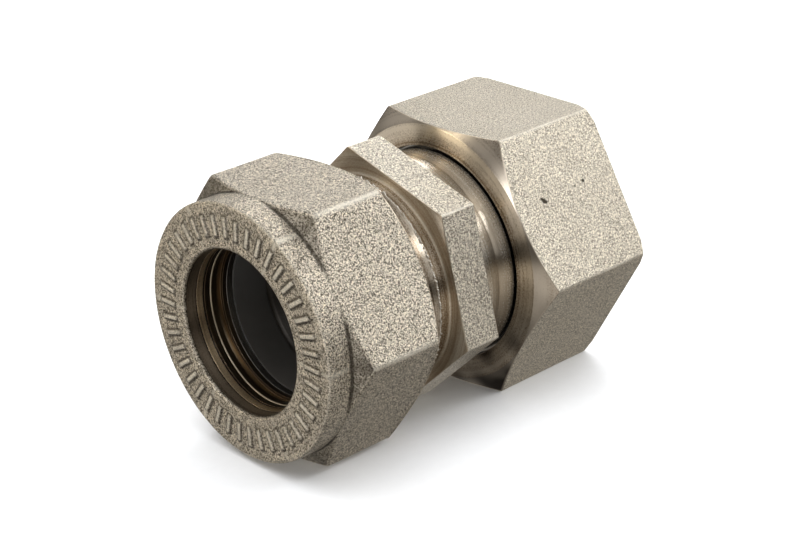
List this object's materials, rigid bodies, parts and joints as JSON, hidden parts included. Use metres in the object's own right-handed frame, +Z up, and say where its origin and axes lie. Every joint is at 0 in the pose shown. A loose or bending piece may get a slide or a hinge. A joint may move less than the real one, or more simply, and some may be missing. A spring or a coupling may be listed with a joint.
{
  "type": "eurocone coupling",
  "caption": "Brass coupling that joins a plain pipe, held by a compression nut, to a cone-seated outlet through a swivelling union nut.",
  "frame": {"origin": "where the water way's axis meets the pipe stop inside the body", "axes": "+X along the water way from the pipe's end to the union nut, +Z up, with flats of both nuts level"},
  "size_m": [0.0445, 0.0346, 0.03],
  "materials": {
    "forged_nickel_brass": "nickel-plated over a blasted forging, turned where it is machined",
    "turned_nickel_brass": "nickel-plated, turned and blasted",
    "ring_brass": "bare turned brass",
    "spring_steel": "drawn",
    "seal_rubber": "moulded, matt"
  },
  "bodies": {
    "body": {"fitting_body": "turned_nickel_brass", "seal_ring": "seal_rubber", "thrust_washer": "spring_steel", "cone_o_ring": "seal_rubber", "wire_ring": "spring_steel"},
    "ring_carrier": {"clamp_ring": "ring_brass"},
    "compression_nut": {"compression_nut": "forged_nickel_brass"},
    "union_nut": {"union_nut": "forged_nickel_brass"}
  },
  "joints": [
    {"name": "nut_travel", "type": "slide", "parent": "body", "child": "ring_carrier", "axis": [-1, 0, 0], "range_m": [0, 0.006]},
    {"name": "nut_turn", "type": "hinge", "parent": "ring_carrier", "child": "compression_nut", "pos_m": [0, 0, 0], "axis": [-1, 0, 0], "range_deg": [0, 1440]},
    {"name": "union_turn", "type": "hinge", "parent": "body", "child": "union_nut", "pos_m": [0, 0, 0], "axis": [1, 0, 0], "continuous": true}
  ],
  "couplings": [
    {"joint": "nut_turn", "follows": "nut_travel", "rad_per_m": 4188.8}
  ]
}
